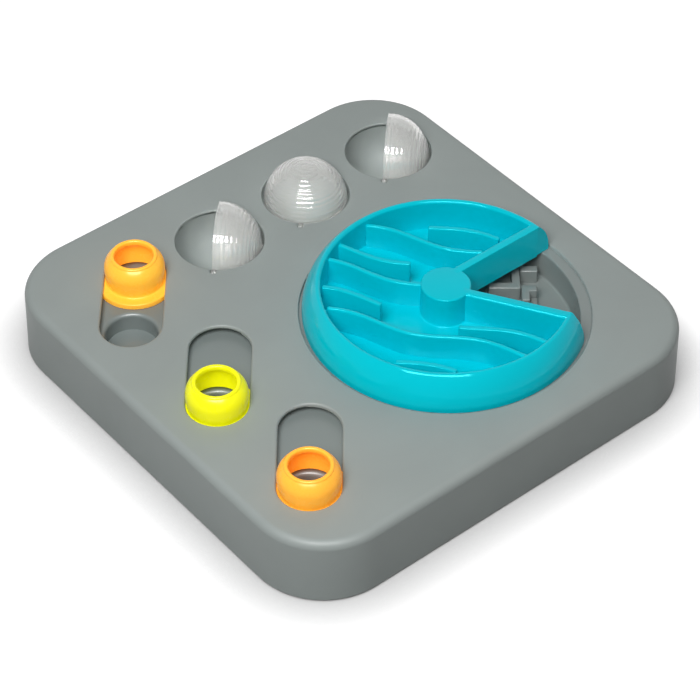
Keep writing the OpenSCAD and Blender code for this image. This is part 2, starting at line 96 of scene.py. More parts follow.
def addNode(tree, kind, sockets=None, **settings):
    made = tree.nodes.new(kind)
    for key, value in settings.items():
        setattr(made, key, value)
    for key, value in (sockets or {}).items():
        if isinstance(value, bpy.types.NodeSocket):
            tree.links.new(value, made.inputs[key])
        else:
            made.inputs[key].default_value = value
    return made


def maths(tree, operation, *values):
    return addNode(tree, "ShaderNodeMath", dict(enumerate(values)), operation=operation).outputs[0]


def newMaterial(name):
    mat = bpy.data.materials.new(name)
    mat.use_nodes = True
    mat.node_tree.nodes.clear()
    return mat, mat.node_tree


def spread(tree, value, low, high):
    # turns a noise value, which stays near a half, into the range low to high
    made = addNode(tree, "ShaderNodeMapRange", {"Value": value, "From Min": 0.3, "From Max": 0.7,
                                                "To Min": low, "To Max": high})
    return made.outputs["Result"]


lightSet = {
    "worldSeen": 1.0,
    "worldLight": 0.12,
    "floorSize": 8.0,  # metres
    "floorGlow": 0.83,
    "shadeReach": 0.034,  # metres, width of the soft shade along the base
    "shadeFall": 2.0,  # power of that shade, a higher one is darker
    "floorSeen": (0.4, 0.4, 0.4, 1),
    "floorBounce": (0.08, 0.08, 0.08, 1),
    # name: azimuth, elevation, distance, width and height in metres, watts, and whether
    # the lamp gives the matt light or the highlights
    "lamps": {
        "keySoftbox": (34, 55, 1.6, 0.8, 0.8, 23.2, "matt"),
        "backFill": (215, 35, 1.8, 1.2, 1.2, 3.0, "matt"),
        "keyStrip": (46, 55, 1.6, 1.1, 0.5, 52.0, "gloss"),
    },
}


def seenRays(tree):
    # 1 for what the camera, a gloss or a clear wall sees, 0 for the light that falls on things
    path = addNode(tree, "ShaderNodeLightPath").outputs
    seen = maths(tree, "MAXIMUM", path["Is Camera Ray"], path["Is Glossy Ray"])
    return maths(tree, "MAXIMUM", seen, path["Is Transmission Ray"])


def makeWorld(v):
    world = bpy.data.worlds.new("studioWorld")
    world.use_nodes = True
    scene.world = world
    tree = world.node_tree
    tree.nodes.clear()
    strength = addNode(tree, "ShaderNodeMapRange", {"Value": seenRays(tree),
                                                    "To Min": v["worldLight"],
                                                    "To Max": v["worldSeen"]})
    glow = addNode(tree, "ShaderNodeBackground", {"Color": (1, 1, 1, 1),
                                                  "Strength": strength.outputs["Result"]})
    addNode(tree, "ShaderNodeOutputWorld", {"Surface": glow.outputs[0]})


def makeFloor(v):
    mesh = bpy.data.meshes.new("floor")
    h = v["floorSize"] / 2
    mesh.from_pydata([(-h, -h, 0), (h, -h, 0), (h, h, 0), (-h, h, 0)], [], [(0, 1, 2, 3)])
    floor = linked("floor", mesh)
    mat, tree = newMaterial("paleFloor")
    seen = seenRays(tree)
    near = addNode(tree, "ShaderNodeAmbientOcclusion", {"Distance": v["shadeReach"]}, samples=8)
    openness = maths(tree, "POWER", near.outputs["AO"], v["shadeFall"])
    shaded = maths(tree, "MULTIPLY", openness, v["floorGlow"])
    glow = addNode(tree, "ShaderNodeEmission", {"Strength": maths(tree, "MULTIPLY", seen, shaded)})
    # inputs 6 and 7 are the two colours that are mixed
    tone = addNode(tree, "ShaderNodeMix", {"Factor": seen, 6: v["floorBounce"],
                                           7: v["floorSeen"]}, data_type="RGBA")
    matt = addNode(tree, "ShaderNodeBsdfDiffuse", {"Color": tone.outputs[2]})
    both = addNode(tree, "ShaderNodeAddShader", {0: matt.outputs[0], 1: glow.outputs[0]})
    addNode(tree, "ShaderNodeOutputMaterial", {"Surface": both.outputs[0]})
    mesh.materials.append(mat)


def makeLamps(v):
    for name, (azimuth, elevation, distance, wide, high, watts, part) in v["lamps"].items():
        back, turn = aimed(azimuth, elevation)
        data = bpy.data.lights.new(name, "AREA")
        data.shape, data.energy = "RECTANGLE", watts
        data.size, data.size_y = wide, high
        lamp = linked(name, data)
        lamp.matrix_world = Matrix.Translation(back * distance) @ turn.to_4x4()
        lamp.visible_glossy = part == "gloss"
        lamp.visible_diffuse = lamp.visible_transmission = part == "matt"


makeWorld(lightSet)
makeFloor(lightSet)
makeLamps(lightSet)
print("light and floor made")

ringFeel = {"tint": 0.02, "roughness": 0.28, "roughSpread": 0.05, "grain": 0.5,
            "grainDepth": 0.006, "wave": 7.0, "waveDepth": 0.02, "ior": 1.4}
# colours are linear; grain and wave are widths in mm, with their depths in mm; glow is painted
# light, a little light the part gives out of its own to lift its shaded sides
plastics = {
    "shellGrey": {"colour": (0.298, 0.332, 0.322), "tint": 0.035, "roughness": 0.46,
                  "roughSpread": 0.015, "grain": 0.55, "grainDepth": 0.03,
                  "wave": 14.0, "waveDepth": 0.006, "ior": 1.34},
    "bowlGrey": {"colour": (0.288, 0.322, 0.311), "tint": 0.035, "roughness": 0.4,
                 "roughSpread": 0.02, "grain": 0.55, "grainDepth": 0.02,
                 "wave": 10.0, "waveDepth": 0.008},
    # darker than the deck grey: painted shade for the deep recess under the wheel
    "recessGrey": {"colour": (0.222, 0.25, 0.242), "tint": 0.035, "roughness": 0.33,
                   "roughSpread": 0.05, "grain": 0.55, "grainDepth": 0.008,
                   "wave": 10.0, "waveDepth": 0.03},
    # darker than the deck grey: painted shade for the sunken slot floors
    "trackGrey": {"colour": (0.202, 0.234, 0.228), "tint": 0.04, "roughness": 0.34,
                  "roughSpread": 0.02, "grain": 0.55, "grainDepth": 0.015,
                  "wave": 12.0, "waveDepth": 0.008},
    "coverGrey": {"colour": (0.235, 0.262, 0.255), "tint": 0.05, "roughness": 0.52,
                  "roughSpread": 0.08, "grain": 0.7, "grainDepth": 0.06,
                  "wave": 18.0, "waveDepth": 0.04},
    "wheelTeal": {"colour": (0.0, 0.555, 0.665), "tint": 0.03, "roughness": 0.09,
                  "roughSpread": 0.03, "grain": 0.5, "grainDepth": 0.004,
                  "wave": 9.0, "waveDepth": 0.02, "ior": 1.42,
                  "sheen": (0.1, 0.9, 1.0), "glow": (0.0, 0.012, 0.016)},
    "ringAmber": {**ringFeel, "colour": (1.0, 0.58, 0.055), "sheen": (1.0, 0.9, 0.6),
                  "glow": (0.3, 0.08, 0.004)},
    "ringYellow": {**ringFeel, "colour": (0.96, 0.95, 0.008), "sheen": (1.0, 1.0, 0.6),
                   "glow": (0.14, 0.14, 0.0)},
    "ringOrange": {**ringFeel, "colour": (1.0, 0.54, 0.055), "sheen": (1.0, 0.9, 0.6),
                   "glow": (0.3, 0.07, 0.004)},
}
white = (1, 1, 1)
usualIor = 1.48  # of a moulded plastic with no other value


def mouldedPlastic(name, v):
    mat, tree = newMaterial(name)
    where = addNode(tree, "ShaderNodeTexCoord").outputs["Object"]
    grain = addNode(tree, "ShaderNodeTexNoise", {"Vector": where, "Scale": 1 / (v["grain"] * mm),
                                                 "Detail": 3.0, "Roughness": 0.6})
    wave = addNode(tree, "ShaderNodeTexNoise", {"Vector": where, "Scale": 1 / (v["wave"] * mm),
                                                "Detail": 2.0})
    cloud = addNode(tree, "ShaderNodeTexNoise", {"Vector": where, "Scale": 16.0, "Detail": 4.0,
                                                 "Distortion": 0.6})
    shade = spread(tree, cloud.outputs["Fac"], 1 - v["tint"], 1 + v["tint"])
    tinted = addNode(tree, "ShaderNodeHueSaturation", {"Value": shade,
                                                       "Color": (*v["colour"], 1)})
    rough = spread(tree, wave.outputs["Fac"], v["roughness"] - v["roughSpread"],
                   v["roughness"] + v["roughSpread"])
    swell = addNode(tree, "ShaderNodeBump", {"Height": wave.outputs["Fac"], "Strength": 1.0,
                                             "Distance": v["waveDepth"] * mm})
    fine = addNode(tree, "ShaderNodeBump", {"Height": grain.outputs["Fac"], "Strength": 1.0,
                                            "Distance": v["grainDepth"] * mm,
                                            "Normal": swell.outputs[0]})
    surface = addNode(tree, "ShaderNodeBsdfPrincipled", {
        "Base Color": tinted.outputs[0], "Roughness": rough, "Normal": fine.outputs[0],
        "IOR": v.get("ior", usualIor), "Specular Tint": (*v.get("sheen", white), 1)})
    if "glow" in v:
        # painted light: the plastic gives out a little light of its own in the glow colour, which
        # lifts its shaded sides; it stands in for light that the bright, slightly see-through
        # plastic scatters back out
        surface.inputs["Emission Color"].default_value = (*v["glow"], 1)
        surface.inputs["Emission Strength"].default_value = 1.0
    addNode(tree, "ShaderNodeOutputMaterial", {"Surface": surface.outputs[0]})
    return mat


clearSet = {"colour": (0.93, 0.93, 0.915, 1), "roughness": 0.07, "roughSpread": 0.03,
            "clearness": 0.82, "ior": 1.5, "streak": 3.0, "streakDepth": 0.015}


def clearPlastic(name, v):
    mat, tree = newMaterial(name)
    where = addNode(tree, "ShaderNodeTexCoord").outputs["Object"]
    cloud = addNode(tree, "ShaderNodeTexNoise", {"Vector": where, "Scale": 60.0, "Detail": 3.0})
    fine = addNode(tree, "ShaderNodeTexNoise", {"Vector": where,
                                                "Scale": 1 / (v["streak"] * mm), "Detail": 2.0})
    rough = spread(tree, cloud.outputs["Fac"], v["roughness"] - v["roughSpread"],
                   v["roughness"] + v["roughSpread"])
    swell = addNode(tree, "ShaderNodeBump", {"Height": fine.outputs["Fac"], "Strength": 1.0,
                                             "Distance": v["streakDepth"] * mm})
    surface = addNode(tree, "ShaderNodeBsdfPrincipled", {
        "Base Color": v["colour"], "Roughness": rough, "Normal": swell.outputs[0],
        "IOR": v["ior"], "Transmission Weight": v["clearness"]})
    addNode(tree, "ShaderNodeOutputMaterial", {"Surface": surface.outputs[0]})
    return mat


# grain and cloud are how many to a metre; shade and rough give the least and the most
smallParts = {
    "screwSteel": {"colour": (0.62, 0.62, 0.60), "shade": (0.9, 1.06), "rough": (0.24, 0.42),
                   "grain": 2200.0, "grainDetail": 3.0, "grainDepth": 0.01,
                   "cloud": 300.0, "cloudDetail": 2.0, "metal": 1.0},
    "footRubber": {"colour": (0.035, 0.037, 0.038), "shade": (0.85, 1.2), "rough": (0.68, 0.85),
                   "grain": 1500.0, "grainDetail": 4.0, "grainDepth": 0.05,
                   "cloud": 120.0, "cloudDetail": 3.0, "metal": 0.0},
}


def steelOrRubber(name, v):
    mat, tree = newMaterial(name)
    where = addNode(tree, "ShaderNodeTexCoord").outputs["Object"]
    grain = addNode(tree, "ShaderNodeTexNoise", {"Vector": where, "Scale": v["grain"],
                                                 "Detail": v["grainDetail"]})
    cloud = addNode(tree, "ShaderNodeTexNoise", {"Vector": where, "Scale": v["cloud"],
                                                 "Detail": v["cloudDetail"]})
    shade = spread(tree, cloud.outputs["Fac"], *v["shade"])
    tinted = addNode(tree, "ShaderNodeHueSaturation", {"Value": shade, "Color": (*v["colour"], 1)})
    rough = spread(tree, grain.outputs["Fac"], *v["rough"])
    fine = addNode(tree, "ShaderNodeBump", {"Height": grain.outputs["Fac"],
                                            "Distance": v["grainDepth"] * mm})
    surface = addNode(tree, "ShaderNodeBsdfPrincipled", {
        "Base Color": tinted.outputs[0], "Roughness": rough, "Normal": fine.outputs[0],
        "Metallic": v["metal"]})
    addNode(tree, "ShaderNodeOutputMaterial", {"Surface": surface.outputs[0]})
    return mat


finishes = {name: mouldedPlastic(name, v) for name, v in plastics.items()}
finishes["domeClear"] = clearPlastic("domeClear", clearSet)
finishes.update({name: steelOrRubber(name, v) for name, v in smallParts.items()})
print("materials made")


def arc(cx, cz, r, start, end, steps):
    # points of a round stretch, angles in degrees
    turns = [math.radians(start + (end - start) * i / steps) for i in range(steps + 1)]
    return [(cx + r * math.cos(t), cz + r * math.sin(t)) for t in turns]


def lathe(outline, segments):
    # closed outline of (radius, height), turned all the way round the z axis
    verts, faces = [], []
    count = len(outline)
    for s in range(segments):
        t = 2 * math.pi * s / segments
        verts += [(r * math.cos(t), r * math.sin(t), z) for r, z in outline]
    for s in range(segments):
        a, b = s * count, (s + 1) % segments * count
        for i in range(count):
            j = (i + 1) % count
            faces.append((a + i, b + i, b + j, a + j))
    return verts, faces


def joined(shells):
    verts, faces = [], []
    for v, f in shells:
        faces += [tuple(i + len(verts) for i in face) for face in f]
        verts += list(v)
    return verts, faces


def moved(shell, matrix):
    verts, faces = shell
    return [tuple(matrix @ Vector(p)) for p in verts], faces


def bridged(first, last):
    # closed solid between two outlines of as many points
    n = len(first)
    faces = [(i, (i + 1) % n, n + (i + 1) % n, n + i) for i in range(n)]
    return first + last, faces + [tuple(range(n))[::-1], tuple(range(n, 2 * n))]


def prism(outline, low, top):
    return bridged([(x, y, low) for x, y in outline], [(x, y, top) for x, y in outline])


def smoothShaded(mesh, finish, sharp):
    mesh.shade_smooth()
    mesh.set_sharp_from_angle(angle=math.radians(sharp))
    mesh.materials.clear()
    mesh.materials.append(finish)


def makePiece(name, shell, finish, sharp=34, merge=weld):
    # the shell is in mm, in the part's own frame
    mesh = bpy.data.meshes.new(name)
    mesh.from_pydata([tuple(c * mm for c in p) for p in shell[0]], [], shell[1])
    work = bmesh.new()
    work.from_mesh(mesh)
    bmesh.ops.remove_doubles(work, verts=work.verts, dist=merge)
    bmesh.ops.dissolve_degenerate(work, edges=work.edges, dist=merge)
    bmesh.ops.recalc_face_normals(work, faces=work.faces)
    work.to_mesh(mesh)
    work.free()
    smoothShaded(mesh, finish, sharp)
    return linked(name, mesh)


def modifiedMesh(thing):
    bpy.context.view_layer.update()
    return bpy.data.meshes.new_from_object(
        thing.evaluated_get(bpy.context.evaluated_depsgraph_get()))


def startTree(name, **inputs):
    # node tree that puts out a mesh, with named inputs; returns it and its input sockets
    tree = bpy.data.node_groups.new(name, "GeometryNodeTree")
    tree.interface.new_socket("Geometry", in_out="OUTPUT", socket_type="NodeSocketGeometry")
    for title, kind in inputs.items():
        tree.interface.new_socket(title, in_out="INPUT", socket_type="NodeSocket" + kind)
    return tree, addNode(tree, "NodeGroupInput").outputs


def endTree(tree, made, finish):
    real = addNode(tree, "GeometryNodeRealizeInstances", {0: made})
    painted = addNode(tree, "GeometryNodeSetMaterial", {"Geometry": real.outputs[0],
                                                        "Material": finish})
    addNode(tree, "NodeGroupOutput", {"Geometry": painted.outputs[0]})
    return tree


bevelSteps = 4
bevelFrom = 50  # degrees, flatter edges stay as they are


def treeResult(tree, values, bevel=None, shell=((), ())):
    # runs a node tree on the given vertices and faces, and returns the mesh it makes
    base = bpy.data.meshes.new("carrier")
    base.from_pydata(shell[0], [], shell[1])
    carrier = linked("carrier", base)
    step = carrier.modifiers.new("nodes", "NODES")
    step.node_group = tree
    for item in tree.interface.items_tree:
        if item.in_out == "INPUT" and item.name in values:
            step[item.identifier] = values[item.name]
    if bevel:
        rounding = carrier.modifiers.new("rounding", "BEVEL")
        rounding.width, rounding.segments = bevel, bevelSteps
        rounding.limit_method, rounding.angle_limit = "ANGLE", math.radians(bevelFrom)
    done = modifiedMesh(carrier)
    bpy.data.objects.remove(carrier)
    return done


def meshShell(mesh, scale=1.0):
    return ([tuple(scale * c for c in v.co) for v in mesh.vertices],
            [tuple(p.vertices) for p in mesh.polygons])


def stand(piece, body, slot, *replaced):
    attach(piece, body)
    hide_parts(*replaced)


smoothSet = {"sharp": 33, "largeFaces": 50}  # degrees; how far normals follow large faces


def smoothedCopy(node, name, finish, v):
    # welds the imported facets, so that light runs smoothly over the rounded edges
    mesh = nodes[node].data.copy()
    mesh.name = name
    work = bmesh.new()
    work.from_mesh(mesh)
    bmesh.ops.remove_doubles(work, verts=work.verts, dist=weld)
    work.to_mesh(mesh)
    work.free()
    smoothShaded(mesh, finish, v["sharp"])
    # normals follow the larger faces, so that flat walls stay flat beside a rounding
    carrier = linked(name, mesh)
    flat = carrier.modifiers.new("flat", "WEIGHTED_NORMAL")
    flat.weight, flat.keep_sharp = v["largeFaces"], True
    done = modifiedMesh(carrier)
    bpy.data.objects.remove(carrier)
    return linked(name, done)


smoothNodes = {
    "shellGrey": ["top_shell"],
    "bowlGrey": ["bowl_front", "bowl_middle", "bowl_back"],
}
for finish, members in smoothNodes.items():
    for member in members:
        piece = smoothedCopy(member, "smooth_" + member, finishes[finish], smoothSet)
        stand(piece, "base", "shell_grey", member)
print("base shell and bowls made")

# mm; heights from the deck
wellSet = {
    "recessR": 86.0,
    "wallT": 2.4,
    "ledge": 6.7,
    "lean": 0.8,
    "depth": 20.0,
    "edge": 1.0,
    "floorFillet": 1.6,
    "postR": 9.5,
    "postTop": 17.5,
    "postEdge": 0.5,
    "boreR": 6.08,
    "ribTop": 9.7,
    "ribRoot": 1.0,  # how far the ribs reach into the floor
    "ribTurn": 50.5,
    "ribEdge": 0.7,
    # outlines of the blocks in one quarter of the floor, each with its share of the height
    "ribs": [
        ([(27, 29.3), (46.1, 29.3), (46.1, 52), (41.2, 52), (41.2, 34.5), (27, 34.5)], 1),
        ([(46.6, 44.3), (57, 44.3), (57, 49.5), (46.6, 49.5)], 0.995),
        ([(46.6, 19), (51.4, 19), (51.4, 27.2), (56, 27.2), (56, 32.4), (46.6, 32.4)], 0.99),
        ([(51.8, 16), (56.2, 16), (56.2, 26.8), (51.8, 26.8)], 0.45),
    ],
    "segments": 180,
}
deckTop = 45.0
axle = Vector(joints["wheel_turn"]["pos_m"]) / mm


def wellOutline(v):
    t, well = v["wallT"], v["recessR"] - v["ledge"]
    low, f, e = -v["depth"], v["floorFillet"], v["edge"]
    foot = well - v["lean"]
    points = [(v["boreR"], low - t), (foot + t, low - t), (well + t, -2 * t)]
    points += [(v["recessR"] + t, -2 * t), (v["recessR"] + t, -t)]
    points += arc(well + e, -t - e, e, 90, 180, 6)
    points += arc(foot - f, low + f, f, 0, -90, 6)
    points += arc(v["postR"] + f, low + f, f, 270, 180, 4)
    points += arc(v["postR"] - v["postEdge"], v["postTop"] - v["postEdge"], v["postEdge"], 0, 90, 3)
    points += [(v["boreR"], v["postTop"])]
    return points


def ribTree():
    # four copies of one quarter's blocks, turned about the axle
    tree, given = startTree("recessRibs", Geometry="Geometry", Finish="Material", Turn="Float")
    quarters = addNode(tree, "GeometryNodeMeshLine", {"Count": 4, "Offset": (0, 0, 0)})
    number = addNode(tree, "GeometryNodeInputIndex")
    angle = maths(tree, "MULTIPLY_ADD", number.outputs[0], math.pi / 2, given["Turn"])
    spin = addNode(tree, "ShaderNodeCombineXYZ", {"Z": angle})
    turned = addNode(tree, "GeometryNodeInstanceOnPoints", {
        "Points": quarters.outputs[0], "Instance": given["Geometry"],
        "Rotation": spin.outputs[0]})
    return endTree(tree, turned.outputs[0], given["Finish"])


def makeRibs(v, finish):
    low = -v["depth"] - v["ribRoot"]
    blocks = joined([prism(outline, low, -v["depth"] + v["ribTop"] * share)
                     for outline, share in v["ribs"]])
    return treeResult(ribTree(), {"Finish": finish, "Turn": math.radians(v["ribTurn"])},
                      bevel=v["ribEdge"], shell=blocks)


wellShells = joined([lathe(wellOutline(wellSet), wellSet["segments"]),
                     meshShell(makeRibs(wellSet, finishes["recessGrey"]))])
well = makePiece("recessTray", moved(wellShells, Matrix.Translation((axle.x, axle.y, deckTop))),
                 finishes["recessGrey"], merge=1e-7)
stand(well, "base", "shell_grey", "recess_well")
print("recess made")

# mm; heights from the deck
ringSet = {
    "low": -6.2,
    "flangeR": 22.8,
    "flangeTop": -2.7,
    "flangeEdge": 1.0,
    "lowEdge": 0.3,
    "neckR": 17.0,
    "neckFillet": 1.2,
    "widestR": 18.0,
    "widestZ": 7.57,
    "top": 17.2,
    "lipR": 1.3,
    "holeR": 11.5,
    "collar": 1.8,
    "collarEdge": 0.25,
    "wall": 1.8,
    "throatR": 15.56,
    "segments": 144,
}


def ringOutline(v):
    # the side bulges from the neck to the widest place, then curves in to the rounded lip
    low, flangeR, flangeTop, edge = v["low"], v["flangeR"], v["flangeTop"], v["flangeEdge"]
    wall, wide, wideZ = v["wall"], v["widestR"], v["widestZ"]
    lipR, lipZ = v["lipR"], v["top"] - v["lipR"]
    fillet, lowEdge, collarEdge = v["neckFillet"], v["lowEdge"], v["collarEdge"]
    fall = wideZ - flangeTop - fillet
    swell = wide - v["neckR"]
    waist = (swell ** 2 + fall ** 2) / (2 * swell)
    reach = wide - v["holeR"] - 2 * lipR + 0.1  # the shoulder ends just inside the lip
    climb = lipZ - wideZ
    shoulder = (reach ** 2 + climb ** 2) / (2 * reach)
    up = math.degrees(math.asin(climb / shoulder))
    inner = shoulder - wall
    innerUp = math.degrees(math.asin((climb - v["collar"]) / inner))
    points = [(flangeR - wall, low)]
    points += arc(flangeR - lowEdge, low + lowEdge, lowEdge, 270, 360, 3)
    points += arc(flangeR - edge, flangeTop - edge, edge, 0, 90, 6)
    points += arc(v["neckR"] + fillet, flangeTop + fillet, fillet, 270, 180, 6)
    points += arc(wide - waist, wideZ, waist, -math.degrees(math.asin(fall / waist)), 0, 8)[1:]
    # a little short, so that it doesn't cross the lip
    points += arc(wide - shoulder, wideZ, shoulder, 0, up * 0.985, 12)[1:]
    points += arc(v["holeR"] + lipR, lipZ, lipR, -4, 180, 14)
    points += arc(v["holeR"] + collarEdge, lipZ - v["collar"] + collarEdge, collarEdge, 180, 270, 3)
    points += arc(wide - shoulder, wideZ, inner, innerUp, 0, 10)
    points += [(v["throatR"], flangeTop), (v["throatR"] + wall, flangeTop - wall),
               (flangeR - wall, flangeTop - wall)]
    return points


ringColours = {"left": "ringAmber", "middle": "ringYellow", "right": "ringOrange"}
ringSlots = {"left": "ring_amber", "middle": "ring_yellow", "right": "ring_orange"}
for side, finish in ringColours.items():
    low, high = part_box("ring_" + side)
    centre = (Vector(low) + Vector(high)) / 2 / mm
    turned = lathe(ringOutline(ringSet), ringSet["segments"])
    put = Matrix.Translation((centre.x, centre.y, deckTop))
    ring = makePiece("slidingRing_" + side, moved(turned, put), finishes[finish])
    stand(ring, "ring_%s_body" % side, ringSlots[side], "ring_" + side)
print("rings made")

domeSet = {
    "outerR": 25.7,
    "wall": 1.6,
    "skirt": 1.2,
    "bands": 13,
    "bandDepth": 0.34,
    "insideDepth": 0.24,
    "bandSteps": 8,
    "nubR": 1.4,
    "nubRise": 0.4,
    "nubRoot": 0.5,
    "nubEdge": 0.35,
    "pinR": 1.8,
    "pinEnd": 31.0,
    "pinEdge": 0.4,
    "segments": 96,
}


def domeOutline(v):
    # both faces are made of shallow barrel-shaped bands, one above the other
    r, skirt = v["outerR"], v["skirt"]
    inner = r - v["wall"]
    total = v["bands"] * v["bandSteps"]
    outside, inside = [], []
    for i in range(total + 1):
        latitude = math.radians(90 * i / total)
        groove = 1 - math.sin(math.pi * (i % v["bandSteps"]) / v["bandSteps"])
        for skin, face, depth in ((outside, r, v["bandDepth"]), (inside, inner, v["insideDepth"])):
            sunk = face - depth * groove
            skin.append((sunk * math.cos(latitude), sunk * math.sin(latitude)))
    outside[-1], inside[-1] = (0, outside[-1][1]), (0, inside[-1][1])
    low = [(math.sqrt(face * face - skirt * skirt), -skirt) for face in (r, inner)]
    return [low[0]] + outside + inside[::-1] + [low[1]]


def bar(radius, start, end, rounding, segments=32):
    # solid round bar along z with rounded ends
    outline = [(0, start)] + arc(radius - rounding, start + rounding, rounding, 270, 360, 5)
    outline += arc(radius - rounding, end - rounding, rounding, 0, 90, 5) + [(0, end)]
    return lathe(outline, segments)


def makeDome(v):
    body = lathe(domeOutline(v), v["segments"])
    nub = bar(v["nubR"], v["outerR"] - v["nubRoot"], v["outerR"] + v["nubRise"], v["nubEdge"])
    shells = [body, nub]
    for side in (90, -90):
        pin = bar(v["pinR"], v["outerR"] - v["wall"] / 2, v["pinEnd"], v["pinEdge"])
        shells.append(moved(pin, Matrix.Rotation(math.radians(side), 4, "Y")))
    return joined(shells)


domeTurns = {"front": 90, "middle": 0, "back": 90}  # degrees, 0 is shut
for place, turn in domeTurns.items():
    joint = joints["dome_%s_flip" % place]
    axis = Vector(joint["axis"])
    pivot = Matrix.Translation(Vector(joint["pos_m"]) / mm)
    along = Matrix.Rotation(math.atan2(axis.y, axis.x), 4, "Z")
    opened = Matrix.Rotation(math.radians(turn), 4, "X")
    dome = makePiece("treatDome_" + place, moved(makeDome(domeSet), pivot @ along @ opened),
                     finishes["domeClear"], sharp=50)
    stand(dome, "dome_%s_body" % place, "dome_clear", "dome_" + place)
print("domes made")

# mm; heights from the deck
wheelSet = {
    "footR": 84.3,
    "bowlR": 73.0,
    "rise": 20.0,
    "edge": -2.1,
    "floorTop": -1.0,
    "floorOverlap": 0.6,  # how far the floor reaches under the rim
    "wall": 2.2,
    "rimTopR": 1.9,
    "hubR": 14.7,
    "hubEdge": 0.9,
    "hubFillet": 1.2,
    "hubSegments": 96,
    "sideWall": 5.5,
    "sideTopR": 1.6,
    "sideEdge": 0.25,
    "sideFrom": 11.0,  # from the axle; the walls start inside the hub
    "wedgeFrom": 32.0,
    "wedgeTo": 90.0,
    "setBack": 2.5,
    "plate": 6.3,  # degrees of solid rim beside the wedge
    "segments": 200,
    "finThick": 3.0,
    "finDrop": 4.0,
    "finAngle": 33.0,
    "finWave": 82.0,
    "finSwing": 3.3,
    "finEdge": 1.35,
    "finRoot": 1.0,  # how far the fins reach into the floor
    "finOverlap": 0.9,  # and into the rim
    # distance from the hub's centre line, where a wave crests, and the two ends
    "fins": [(37.9, -50, -80, 12), (50.7, 2, -25, 18), (16.3, -83, -80, -26),
             (1, -71, -80, -12), (-22.5, -60, -80, -32), (-38.2, -50, -80, 80),
             (-25.8, 49, 16, 80), (-66.3, 14, -10, 40)],
}


def rimPaths(v):
    # outer skin from the floor's underside over the top to the foot, and the hollow's skin;
    # the outer side is an arc that runs smoothly into the rounded top
    topZ, r = v["rise"] - v["rimTopR"], v["rimTopR"]
    inset = v["footR"] - v["bowlR"] - r
    bulge = (topZ ** 2 + inset ** 2 - r ** 2) / (2 * (inset - r))
    at = v["footR"] - bulge
    low = v["floorTop"] - v["wall"]
    up = math.degrees(math.atan2(topZ, bulge - inset))
    down = math.degrees(math.asin(v["edge"] / bulge))
    skin = [(v["bowlR"], low), (v["bowlR"], v["floorTop"])]
    skin += arc(v["bowlR"] + r, topZ, r, 180, up, 14)[:-1]
    skin += arc(at, 0, bulge, up, down, 26)
    inner = bulge - v["wall"]
    roofZ = topZ - v["wall"]
    legR = v["bowlR"] + v["wall"]
    roofUp = math.degrees(math.asin(roofZ / inner))
    hollow = arc(at, 0, inner, math.degrees(math.asin(v["edge"] / inner)), roofUp, 10)
    hollow += [(legR, roofZ), (legR, v["edge"])]
    return skin, hollow, (legR, low)


def makeRim(v):
    skin, hollow, leg = rimPaths(v)
    # the plates beside the wedge are solid, and the rest of the rim is hollow from below
    ring = skin + hollow + [leg]
    count, nSkin, nHollow = len(ring), len(skin), len(hollow)
    total = 360 - v["wedgeTo"] + v["wedgeFrom"]
    steps = v["segments"]
    first = round(steps * v["plate"] / total)
    verts, faces = [], []
    for s in range(steps + 1):
        for r, z in ring:
            start = v["wedgeTo"] + math.degrees(math.asin((v["setBack"] + proud) / r))
            end = 360 + v["wedgeFrom"] - math.degrees(math.asin(proud / r))
            t = math.radians(start + (end - start) * s / steps)
            verts.append((r * math.cos(t), r * math.sin(t), z))
    for s in range(steps):
        a, b = s * count, (s + 1) * count
        filled = s < first or s >= steps - first
        pairs = [(i, i + 1) for i in range(nSkin)]
        if filled:
            pairs.append((nSkin, nSkin + nHollow - 1))
        else:
            pairs += [(i, i + 1) for i in range(nSkin, nSkin + nHollow - 1)]
        pairs += [(count - 2, count - 1), (count - 1, 0)]
        faces += [(a + i, b + i, b + j, a + j) for i, j in pairs]
    for s in (first, steps - first):
        faces.append(tuple(s * count + nSkin + i for i in range(nHollow)))
    for s in (0, steps):
        faces.append(tuple(s * count + i for i in range(nSkin))
                     + tuple(s * count + i for i in (nSkin, count - 2, count - 1)))
    return verts, faces


def makeWheelFloor(v):
    r, inset = v["bowlR"] + v["floorOverlap"], 1.0  # its cut edges end inside the side walls
    start = math.radians(v["wedgeTo"]) + math.asin((v["setBack"] + inset) / r)
    end = math.radians(360 + v["wedgeFrom"]) - math.asin(inset / r)
    steps = v["segments"] // 2
    edge = [(r * math.cos(start + (end - start) * i / steps),
             r * math.sin(start + (end - start) * i / steps)) for i in range(steps + 1)]
    edge += [(inset, -inset), (-v["setBack"] - inset, -inset)]
    return prism(edge, v["floorTop"] - v["wall"], v["floorTop"])


def makeSideWall(v, direction, offset, side):
    # straight wall beside the wedge; its inner top edge is rounded
    low, top = v["floorTop"] - v["wall"], v["rise"] - proud
    width, r, small = v["sideWall"], v["sideTopR"], v["sideEdge"]
    section = [(0, low), (width, low)] + arc(width - r, top - r, r, 0, 90, 8)
    section += arc(small, top - small, small, 90, 180, 3)
    ends = (v["sideFrom"], v["bowlR"] + 0.9 * v["rimTopR"])  # out to the rim's rounded top
    wall = bridged(*[[(x, side * (offset + y), z) for y, z in section] for x in ends])
    return moved(wall, Matrix.Rotation(math.radians(direction), 4, "Z"))


def makeHub(v):
    low, top = v["floorTop"] - v["wall"], v["rise"] - 2 * proud
    r, e, foot = v["hubR"], v["hubEdge"], v["hubFillet"]
    outline = [(0, low), (r + foot, low), (r + foot, v["floorTop"])]
    outline += arc(r + foot, v["floorTop"] + foot, foot, 270, 180, 6)
    outline += arc(r - e, top - e, e, 0, 90, 6) + [(0, top)]
    return lathe(outline, v["hubSegments"])


